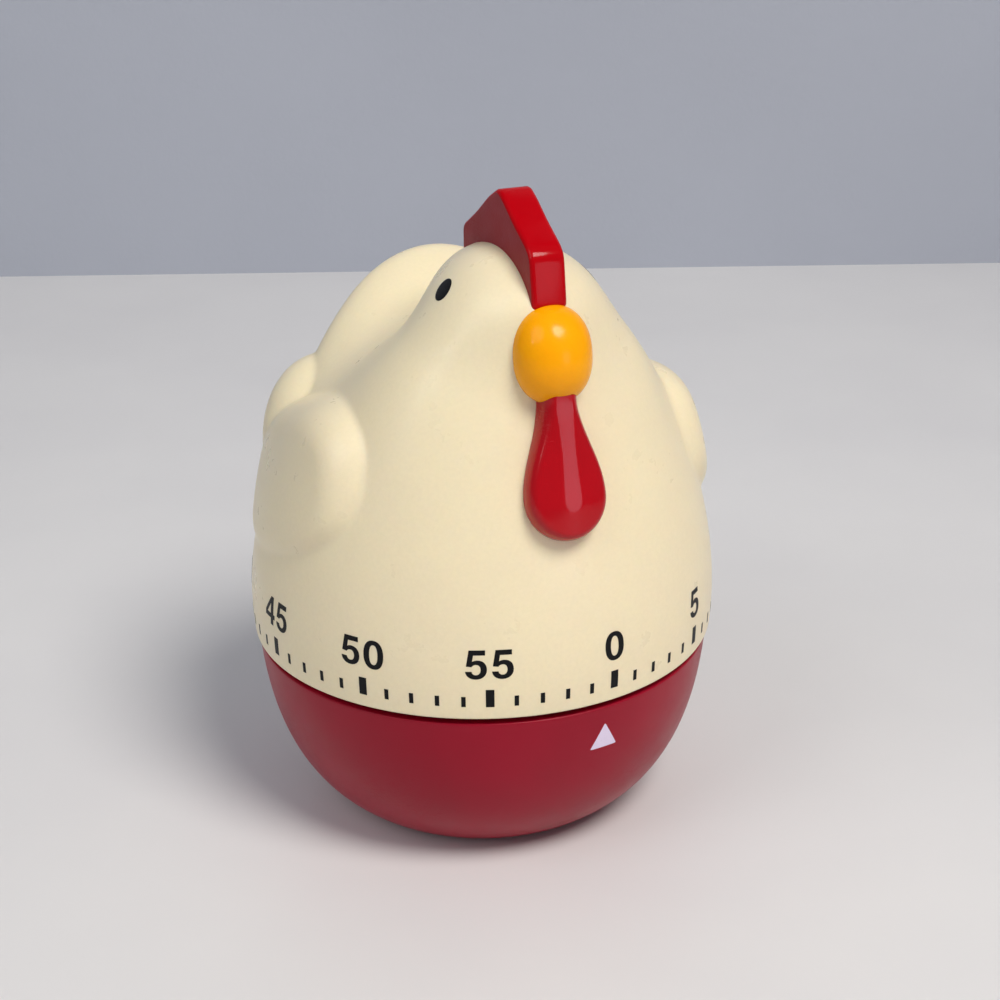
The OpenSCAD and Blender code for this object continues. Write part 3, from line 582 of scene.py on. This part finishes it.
def add_comb():
    """A flat blade along the middle of the head, with rounded edges all round."""
    low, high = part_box("comb")
    thickness = high.x - low.x
    curve = bpy.data.curves.new("comb", "CURVE")
    curve.dimensions = "2D"
    curve.fill_mode = "BOTH"
    curve.extrude = thickness / 2 - COMB_EDGE
    curve.bevel_depth = COMB_EDGE
    curve.bevel_resolution = 5
    curve.offset = -COMB_EDGE
    outline = rounded_outline(COMB_OUTLINE, COMB_CORNER)
    spline = curve.splines.new("POLY")
    spline.points.add(len(outline) - 1)
    for point, (forward, height) in zip(spline.points, outline):
        point.co = (forward * SEAM_R, height * SEAM_R, 0, 1)
    spline.use_cyclic_u = True
    drawing = bpy.data.objects.new("comb_drawing", curve)
    bpy.context.scene.collection.objects.link(drawing)
    mesh = bpy.data.meshes.new_from_object(drawing.evaluated_get(bpy.context.evaluated_depsgraph_get()))
    bpy.data.objects.remove(drawing)
    shape = bmesh.new()
    shape.from_mesh(mesh)
    bmesh.ops.remove_doubles(shape, verts=shape.verts[:], dist=1e-6)
    to_hen = Matrix(((0, 0, -1, 0), (-1, 0, 0, 0), (0, 1, 0, SEAM_Z), (0, 0, 0, 1)))
    shape.transform(to_hen)
    bmesh.ops.recalc_face_normals(shape, faces=shape.faces[:])
    verts = [v.co.copy() for v in shape.verts]
    faces = [tuple(v.index for v in f.verts) for f in shape.faces]
    shape.free()
    piece = new_piece("comb_blade", verts, faces, "hen")
    smooth_by_angle(piece, EDGE_ANGLE)
    piece.data.materials.append(MATERIALS["comb_red"])
    # the second material, for the flat sides, holds a darker red that is painted shade
    piece.data.materials.append(MATERIALS["comb_side"])
    for polygon in piece.data.polygons:
        polygon.material_index = int(abs(polygon.normal.x) > COMB_SIDE_X)
    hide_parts("comb")


BEAK_FORWARD = 0.775    # shares, as are the next two
BEAK_HEIGHT = 1.418
BEAK_HALF = (0.154, 0.15, 0.19)
BEAK_POWER = 2.25       # 2 is an ellipse; more is squarer
BEAK_TILT = -9          # degrees about X


def add_beak():
    """A slightly squared oval knob, set into the face between the comb and the wattle."""
    centre = Vector((0, -BEAK_FORWARD * SEAM_R, SEAM_Z + BEAK_HEIGHT * SEAM_R))
    half = [share * SEAM_R for share in BEAK_HALF]
    around = 96
    rows = 60
    tilt = Matrix.Rotation(math.radians(BEAK_TILT), 3, "X")
    rings = []
    for row in range(1, rows):
        from_tip = math.pi * row / rows
        ring = []
        for k in range(around):
            turn = 2 * math.pi * k / around
            c, s = math.cos(turn), math.sin(turn)
            across = (abs(c) ** BEAK_POWER + abs(s) ** BEAK_POWER) ** (-1 / BEAK_POWER) * math.sin(from_tip)
            point = Vector((c * across * half[0], -math.cos(from_tip) * half[1], s * across * half[2]))
            ring.append(tilt @ point + centre)
        rings.append(ring)
    tips = [tilt @ Vector((0, side * half[1], 0)) + centre for side in (-1, 1)]
    verts, faces = closed_rings(np.array(rings), np.array(tips[0]), np.array(tips[1]))
    piece = new_piece("beak_knob", verts, faces, "hen")
    piece.data.materials.append(MATERIALS["beak_yellow"])
    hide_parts("beak")


WATTLE_ROUND_Z = 0.872      # centre of the round end; all the wattle's sizes are in shares
WATTLE_ROUND_R = 0.161
WATTLE_NECK_R = 0.072
WATTLE_NECK_Z = 1.265
WATTLE_TOP = 1.33
WATTLE_EDGE = 0.075         # height of the rounded rim over the throat
WATTLE_RIM = 0.04           # width of that rim
WATTLE_CROWN = 0.03         # further height of the flat strip down the middle
WATTLE_CROWN_POWER = 0.8    # 1 gives straight flanks; less makes them bulge
WATTLE_STRIP = 0.034        # half the strip's width
WATTLE_DEPTH = 0.04         # how far the back lies under the hen's surface
WATTLE_ORIGIN_Y = -0.3      # inside the neck, where the surface is looked for from


def wattle_half_width(z):
    """A circle below, drawn in along a soft curve to the neck, and closed by a half ellipse."""
    below = np.sqrt(np.maximum(WATTLE_ROUND_R ** 2 - (z - WATTLE_ROUND_Z) ** 2, 0))
    rise = np.clip((z - WATTLE_ROUND_Z) / (WATTLE_NECK_Z - WATTLE_ROUND_Z), 0, 1)
    drawn_in = WATTLE_NECK_R + (WATTLE_ROUND_R - WATTLE_NECK_R) * (1 + np.cos(math.pi * rise)) / 2
    over = np.clip((z - WATTLE_NECK_Z) / (WATTLE_TOP - WATTLE_NECK_Z), 0, 1)
    closing = np.sqrt(1 - over ** 2)
    return np.where(z < WATTLE_ROUND_Z, below, drawn_in * closing)


def wattle_height(x, z):
    """How far the front stands over the throat: a rounded rim, then flanks up to the middle strip."""
    half = wattle_half_width(z)
    step = 1e-4
    slope = (wattle_half_width(z + step) - wattle_half_width(z - step)) / (2 * step)
    beside = (half - np.abs(x)) / np.sqrt(1 + slope ** 2)
    within = WATTLE_ROUND_R - np.hypot(x, z - WATTLE_ROUND_Z)
    inside = np.maximum(np.where(z < WATTLE_ROUND_Z, within, beside), 0)
    rim = np.minimum(inside / WATTLE_RIM, 1)
    crown = np.minimum(inside / np.maximum(half - WATTLE_STRIP, WATTLE_RIM), 1)
    return WATTLE_EDGE * np.sqrt(1 - (1 - rim) ** 2) + WATTLE_CROWN * crown ** WATTLE_CROWN_POWER


def add_wattle():
    """A raised drop on the throat."""
    rows = 120
    columns = 56
    bottom = WATTLE_ROUND_Z - WATTLE_ROUND_R
    heights = bottom + (WATTLE_TOP - bottom) * (1 - np.cos(np.linspace(0, math.pi, rows + 1)[1:-1])) / 2
    across = np.cos(np.linspace(math.pi, 0, columns + 1))
    x = wattle_half_width(heights)[:, None] * across[None]
    z = np.broadcast_to(heights[:, None], x.shape)

    def skin(x, z, lift):
        origins = np.stack((x, np.full_like(x, WATTLE_ORIGIN_Y), z), -1)
        p = surface_points(origins, np.broadcast_to((0.0, -1.0, 0.0), origins.shape))
        return p + surface_normals(p) * lift[..., None]

    front = skin(x, z, wattle_height(x, z))
    back = skin(x, z, np.full_like(x, -WATTLE_DEPTH))
    ends = [skin(np.zeros(1), np.full(1, end), np.full(1, -WATTLE_DEPTH))[0] for end in (bottom, WATTLE_TOP)]
    rings = np.concatenate((front, back[:, ::-1]), axis=1)
    verts, faces = closed_rings(rings, ends[0], ends[1])
    piece = new_piece("wattle_drop", in_metres(verts), faces, "hen")
    piece.data.materials.append(MATERIALS["wattle_red"])
    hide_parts("wattle")


EYE_AT = (-0.306, -0.425, 1.629)    # a point on the way out to the right eye, in shares
EYE_LONG = (0.055, 0.06, 0.069)     # direction of the eye's long axis
EYE_HALF = (0.051, 0.044)           # shares along and across that axis
EYE_DOME = 0.04 * MM


def add_eyes():
    """A black oval on each side of the head, slightly domed."""
    rings_count = 10
    around = 56
    for name, side in (("eye_right", 1), ("eye_left", -1)):
        centre = np.array(EYE_AT) * (side, 1, 1)
        centre = surface_points(np.zeros(3), centre / np.linalg.norm(centre))
        normal = surface_normals(centre)
        long_axis = np.array(EYE_LONG) * (side, 1, 1)
        long_axis -= normal * (long_axis @ normal)
        long_axis /= np.linalg.norm(long_axis)
        short_axis = np.cross(normal, long_axis)
        rings = []
        for ring in range(1, rings_count + 1):
            share = ring / rings_count
            turn = np.arange(around) * -2 * math.pi / around
            flat = (centre + np.cos(turn)[:, None] * long_axis * EYE_HALF[0] * share
                    + np.sin(turn)[:, None] * short_axis * EYE_HALF[1] * share)
            aims = flat / np.linalg.norm(flat, axis=-1, keepdims=True)
            p = surface_points(np.zeros(3), aims)
            lift = (INK_PROUD + EYE_DOME * math.sqrt(1 - share ** 2)) / SEAM_R
            rings.append(p + surface_normals(p) * lift)
        rim = surface_points(np.zeros(3), aims)
        rings.append(rim - surface_normals(rim) * INK_DEPTH / SEAM_R)
        rings = np.array(rings)
        first = centre + normal * (INK_PROUD + EYE_DOME) / SEAM_R
        last = centre - normal * 2 * INK_DEPTH / SEAM_R
        verts, faces = closed_rings(rings, first, last)
        if side < 0:
            faces = [tuple(reversed(f)) for f in faces]
        piece = new_piece(name, in_metres(verts), faces, "hen")
        piece.data.materials.append(MATERIALS["ink"])


# ---- Scale ----

# Each figure's outlines in figure heights, from its lower left corner. A pair is the next corner, and
# three pairs are a curve's two handles and its end.
FIGURE_WIDTH = 0.71
FIGURES = {
    "1": [[(0.24, 0), (0.45, 0), (0.45, 1), (0.29, 1), ((0.27, 0.89), (0.18, 0.83), (0.05, 0.83)),
           (0.05, 0.68), (0.24, 0.68)]],
    "2": [[(0.03, 0.66), ((0.03, 0.87), (0.16, 1), (0.36, 1)), ((0.56, 1), (0.69, 0.88), (0.69, 0.7)),
           ((0.69, 0.52), (0.57, 0.44), (0.44, 0.34)), ((0.34, 0.265), (0.29, 0.23), (0.27, 0.175)),
           (0.69, 0.175), (0.69, 0), (0.01, 0), ((0.02, 0.2), (0.13, 0.29), (0.3, 0.41)),
           ((0.42, 0.49), (0.49, 0.56), (0.49, 0.69)), ((0.49, 0.79), (0.44, 0.84), (0.355, 0.84)),
           ((0.26, 0.84), (0.22, 0.78), (0.22, 0.66))]],
    "3": [[(0.02, 0.71), ((0.03, 0.89), (0.16, 1), (0.35, 1)), ((0.54, 1), (0.66, 0.89), (0.66, 0.74)),
           ((0.66, 0.63), (0.6, 0.56), (0.53, 0.525)), ((0.63, 0.49), (0.7, 0.42), (0.7, 0.29)),
           ((0.7, 0.11), (0.56, 0), (0.35, 0)), ((0.14, 0), (0, 0.11), (0, 0.3)), (0.2, 0.3),
           ((0.21, 0.2), (0.26, 0.15), (0.35, 0.15)), ((0.44, 0.15), (0.5, 0.21), (0.5, 0.295)),
           ((0.5, 0.4), (0.42, 0.445), (0.29, 0.445)), (0.29, 0.585),
           ((0.41, 0.585), (0.465, 0.63), (0.465, 0.715)), ((0.465, 0.8), (0.42, 0.85), (0.35, 0.85)),
           ((0.265, 0.85), (0.22, 0.79), (0.215, 0.71))]],
    "4": [[(0.42, 0), (0.61, 0), (0.61, 0.225), (0.71, 0.225), (0.71, 0.385), (0.61, 0.385), (0.61, 1),
           (0.42, 1), (0, 0.4), (0, 0.225), (0.42, 0.225)],
          [(0.42, 0.385), (0.155, 0.385), (0.42, 0.76)]],
    "5": [[(0.64, 1), (0.12, 1), (0.03, 0.45), (0.205, 0.43), ((0.24, 0.485), (0.29, 0.51), (0.35, 0.51)),
           ((0.44, 0.51), (0.49, 0.44), (0.49, 0.33)), ((0.49, 0.22), (0.43, 0.15), (0.34, 0.15)),
           ((0.27, 0.15), (0.22, 0.19), (0.205, 0.27)), (0, 0.27), ((0.02, 0.1), (0.15, 0), (0.34, 0)),
           ((0.55, 0), (0.69, 0.14), (0.69, 0.34)), ((0.69, 0.54), (0.57, 0.66), (0.39, 0.66)),
           ((0.33, 0.66), (0.27, 0.645), (0.225, 0.61)), (0.26, 0.83), (0.64, 0.83)]],
}
ZERO_OUTER = (0.355, 0.5)       # half-sizes of the figure 0's two outlines
ZERO_INNER = (0.15, 0.345)
ZERO_POWER = 2.3


def rounded_loop(half_width, half_height, power):
    """A closed curve between an ellipse (power 2) and a rectangle, round the origin."""
    steps = 36
    points = []
    for k in range(steps):
        c, s = math.cos(2 * math.pi * k / steps), math.sin(2 * math.pi * k / steps)
        reach = (abs(c) ** power + abs(s) ** power) ** (-1 / power)
        points.append((c * reach * half_width, s * reach * half_height))
    return points


def drawn(outline):
    """A figure's outline as plain points, with its curves followed in steps."""
    steps = 7
    points = []
    for item in outline:
        if isinstance(item[0], tuple):
            a, b, c, d = (np.array(v, float) for v in (points[-1], *item))
            for t in np.linspace(0, 1, steps + 1)[1:]:
                u = 1 - t
                points.append(tuple(u ** 3 * a + 3 * u * u * t * b + 3 * u * t * t * c + t ** 3 * d))
        else:
            points.append(item)
    return points


def figure_outlines(text):
    """Closed outlines of a number's figures, centred over the origin, in shares."""
    loops = []
    pitch = FIGURE_PITCH / FIGURE_HEIGHT
    for place, figure in enumerate(text):
        middle = (place - (len(text) - 1) / 2) * pitch
        if figure == "0":
            halves = (ZERO_OUTER, ZERO_INNER)
            outlines = [[(x, y + 0.5) for x, y in rounded_loop(*half, ZERO_POWER)] for half in halves]
            left = middle
        else:
            outlines = [drawn(outline) for outline in FIGURES[figure]]
            left = middle - FIGURE_WIDTH / 2
        for outline in outlines:
            loops.append([((left + x) * FIGURE_HEIGHT, y * FIGURE_HEIGHT) for x, y in outline])
    return loops


def add_scale():
    """Sixty ticks, a longer one each five minutes, and the minutes' figures over those."""
    for minute in range(MINUTES):
        azimuth = ZERO_AZIMUTH + 360 * minute / MINUTES
        has_figure = minute % MINUTES_PER_FIGURE == 0
        bottom, top, width = MAJOR_TICK if has_figure else MINOR_TICK
        outline = [(-width / 2, 0), (width / 2, 0), (width / 2, top - bottom), (-width / 2, top - bottom)]
        printed_on_hen(f"tick_{minute:02d}", [outline], azimuth, bottom)
        if has_figure:
            printed_on_hen(f"figure_{minute:02d}", figure_outlines(str(minute)), azimuth, FIGURE_BOTTOM)


# ======== Base ========

def add_base_shell():
    """The bowl: flat underside, rim, lip inside the hen, and a boss for each screw."""
    foot_round = 0.6 * MM
    rim_round = 0.25 * MM
    outer_rows = 60
    inner_rows = 30
    outer_z = np.linspace(RIM_Z - rim_round, foot_round, outer_rows)
    inner_top = RIM_Z - BASE_WALL
    inner_z = np.linspace(BASE_FLOOR, inner_top, inner_rows)
    foot_r = base_radius(0)
    rim_r = base_radius(RIM_Z)
    lip_inner_r = LIP_R - LIP_T
    profile = [(base_radius(z) - BASE_WALL, z) for z in inner_z]
    profile += [(lip_inner_r, inner_top)]
    profile += curved_corner((lip_inner_r, LIP_TOP_Z - rim_round), (lip_inner_r, LIP_TOP_Z),
                             (lip_inner_r + rim_round, LIP_TOP_Z), 4)
    profile += curved_corner((LIP_R - rim_round, LIP_TOP_Z), (LIP_R, LIP_TOP_Z),
                             (LIP_R, LIP_TOP_Z - rim_round), 4)
    profile += curved_corner((LIP_R, RIM_Z + rim_round), (LIP_R, RIM_Z), (LIP_R + rim_round, RIM_Z), 4)
    profile += curved_corner((rim_r - rim_round, RIM_Z), (rim_r, RIM_Z),
                             (base_radius(RIM_Z - rim_round), RIM_Z - rim_round), 6)
    profile += [(base_radius(z), z) for z in outer_z[1:-1]]
    profile += curved_corner((base_radius(foot_round), foot_round), (foot_r, 0), (foot_r - foot_round, 0), 6)
    around = 256
    turn = np.arange(around) * 2 * math.pi / around
    rings = np.array([heading(turn) * r + (0, 0, z) for r, z in profile])
    verts, faces = closed_rings(rings, np.array((0, 0, BASE_FLOOR)), np.zeros(3))
    piece = new_piece("base_bowl", verts, faces, "base")
    turns = [math.radians(angle) for angle in BOSS_ANGLES]
    places = [(BOSS_CIRCLE * math.cos(a), BOSS_CIRCLE * math.sin(a)) for a in turns]
    bosses = upright_cylinders(places, BOSS_R, BOSS_LOW_Z, BOSS_TOP_Z)
    boolean(piece, bosses, "UNION")
    holes = upright_cylinders(places, SCREW_HOLE_R, BOSS_TOP_Z - BOSS_HOLE_DEPTH, BOSS_TOP_Z + MM)
    boolean(piece, holes, "DIFFERENCE")
    smooth_by_angle(piece, EDGE_ANGLE)
    piece.data.materials.clear()
    piece.data.materials.append(MATERIALS["base_red"])
    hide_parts("base_shell")


POINTER = ((5.5, -0.229), (13.1, -0.229), (9.1, -0.110))     # azimuth and height in shares of each corner
POINTER_CORNER = 0.008


def add_pointer():
    """The pale triangle printed on the base under the scale."""
    middle = POINTER[2][0]
    corners = [(math.radians(azimuth - middle), z) for azimuth, z in POINTER]
    flat, faces = slab([rounded_outline(corners, POINTER_CORNER, 3)], INK_STEP / SEAM_R)
    turn = flat[:, 0] + math.radians(middle)
    z = SEAM_Z + flat[:, 1] * SEAM_R
    radius = base_radius(z)
    step = 1e-6
    slope = (base_radius(z + step) - base_radius(z - step)) / (2 * step)
    normal = heading(turn) - straight_up(slope)
    normal /= np.linalg.norm(normal, axis=-1, keepdims=True)
    lift = np.where(flat[:, 2] > 0.5, INK_PROUD, -INK_DEPTH)[:, None]
    points = heading(turn) * radius[:, None] + straight_up(z) + normal * lift
    piece = new_piece("pointer", points, faces, "base", smooth=False)
    piece.data.materials.append(MATERIALS["pointer_ink"])


def finish_movement():
    """Gives each CAD node that stays its slot's material."""
    for subpart in frame["record"]["subparts"]:
        node = frame["nodes"][subpart["node"]]
        for slot in node.material_slots:
            slot.material = MATERIALS[subpart["material_slot"]]


# ======== Studio ========

CAMERA_AZIMUTH = -21            # degrees from -Y towards +X
CAMERA_ELEVATION = 26.06
CAMERA_DISTANCE = 8.38          # shares, from the centre of the seam
CAMERA_LENS = 68.02             # mm
CAMERA_ROLL = 0.878             # degrees
SEAM_LEFT_OF_AXIS = 0.529       # degrees from the view's middle to the centre of the seam
SEAM_BELOW_AXIS = 3.287


def toward(azimuth, elevation):
    """A unit vector from an azimuth, from -Y towards +X, and an elevation, both in degrees."""
    a, e = math.radians(azimuth), math.radians(elevation)
    return Vector((math.cos(e) * math.sin(a), -math.cos(e) * math.cos(a), math.sin(e)))


def add_camera():
    data = bpy.data.cameras.new("camera")
    data.lens = CAMERA_LENS
    data.sensor_width = 36
    data.clip_start = 0.01
    camera = bpy.data.objects.new("camera", data)
    bpy.context.scene.collection.objects.link(camera)
    back = toward(CAMERA_AZIMUTH, CAMERA_ELEVATION)
    looking = (-back).to_track_quat("-Z", "Y")
    left, down = math.radians(SEAM_LEFT_OF_AXIS), math.radians(SEAM_BELOW_AXIS)
    aim = Vector((-math.tan(left), -math.tan(down), -1)).normalized()
    swing = Vector((0, 0, -1)).rotation_difference(aim)
    roll = Quaternion((0, 0, 1), math.radians(CAMERA_ROLL))
    camera.rotation_mode = "QUATERNION"
    camera.rotation_quaternion = looking @ (swing @ roll).inverted()
    camera.location = Vector(SEAM) + back * CAMERA_DISTANCE * SEAM_R
    bpy.context.scene.camera = camera


# Each light's name, azimuth from the camera's and elevation in degrees, distance and size in metres,
# power in watts, colour, and spread in degrees.
LIGHTS = (
    ("key", 38, 54, 0.8, 0.34, 1.6, (1.0, 0.97, 0.93), 100),
    ("fill", -50, 42, 1.0, 0.7, 1.0, (0.93, 0.96, 1.0), 120),
    ("front", 40, 4, 0.6, 0.2, 0.2, (1.0, 0.86, 1.0), 180),
    ("lamp", -58, 22, 0.7, 0.02, 0.1, (1.0, 0.98, 0.95), 180),
)
LIGHTS_AIM = Vector((0, 0, 0.04))
WORLD_COLOUR = (0.86, 0.9, 1.0, 1)
WORLD_STRENGTH = 0.25


def add_area_light(name, azimuth, elevation, distance, size, power, colour, spread):
    """A round light aimed at the hen."""
    data = bpy.data.lights.new(name, "AREA")
    data.shape = "DISK"
    data.size = size
    data.energy = power
    data.color = colour
    data.spread = math.radians(spread)
    light = bpy.data.objects.new(name, data)
    bpy.context.scene.collection.objects.link(light)
    aim = toward(CAMERA_AZIMUTH + azimuth, elevation)
    light.location = LIGHTS_AIM + aim * distance
    light.rotation_euler = (-aim).to_track_quat("-Z", "Y").to_euler()


def stage_sheet(name, corners, material):
    """One flat face of the stage, which isn't part of the object."""
    mesh = bpy.data.meshes.new(name)
    mesh.from_pydata([tuple(c) for c in corners], [], [tuple(range(len(corners)))])
    sheet = bpy.data.objects.new(name, mesh)
    bpy.context.scene.collection.objects.link(sheet)
    mesh.materials.append(material)


def plain_surface(name, colour, other, cloud, grain, detail, depth, roughness):
    """A cloudy colour over a fine grain, with the grain's roughness from its lowest to its highest."""
    n = Nodes(name)
    clouds = n.spread(n.noise(cloud, 3), 0.3, 0.7)
    tint = n.mixed(clouds, colour, other)
    fine = n.noise(grain, detail)
    gloss = n.spread(fine, 0.3, 0.7, roughness[0], roughness[1])
    n.wire(Base_Color=tint, Roughness=gloss, Normal=n.bump(fine, depth))
    return n.material


WALL_BEHIND = 0.25      # metres from the hen's axis to the wall behind the table
STAGE_HALF = 1.6        # metres from the axis to the table's other edges, and the wall's height


def add_studio():
    """A pale table top with a plain wall behind it, lit by a soft key high on the right, a fill on the left,
    a weak low light on the right and a small lamp on the left."""
    table = plain_surface("pale_table", linear(226, 224, 222), linear(220, 218, 217), 60 * MM,
                          0.8 * MM, 2, 0.01 * MM, (0.4, 0.5))
    wall = plain_surface("grey_wall", linear(176, 180, 190), linear(170, 174, 184), 120 * MM,
                         1.5 * MM, 3, 0.05 * MM, (0.7, 0.7))
    ahead = toward(CAMERA_AZIMUTH, 0)
    across = Vector((-ahead.y, ahead.x, 0))
    front, back = ahead * STAGE_HALF, -ahead * WALL_BEHIND
    left, right = -across * STAGE_HALF, across * STAGE_HALF
    up = Vector((0, 0, STAGE_HALF))
    stage_sheet("table", (front + left, front + right, back + right, back + left), table)
    stage_sheet("wall", (back + left, back + right, back + right + up, back + left + up), wall)
    for light in LIGHTS:
        add_area_light(*light)
    world = bpy.data.worlds.new("studio")
    world.use_nodes = True
    background = world.node_tree.nodes["Background"]
    background.inputs["Color"].default_value = WORLD_COLOUR
    background.inputs["Strength"].default_value = WORLD_STRENGTH
    bpy.context.scene.world = world
    bpy.context.scene.view_settings.view_transform = "Standard"


add_camera()
add_hen_shell()
add_comb()
add_beak()
add_wattle()
add_eyes()
add_scale()
add_base_shell()
add_pointer()
finish_movement()
add_studio()
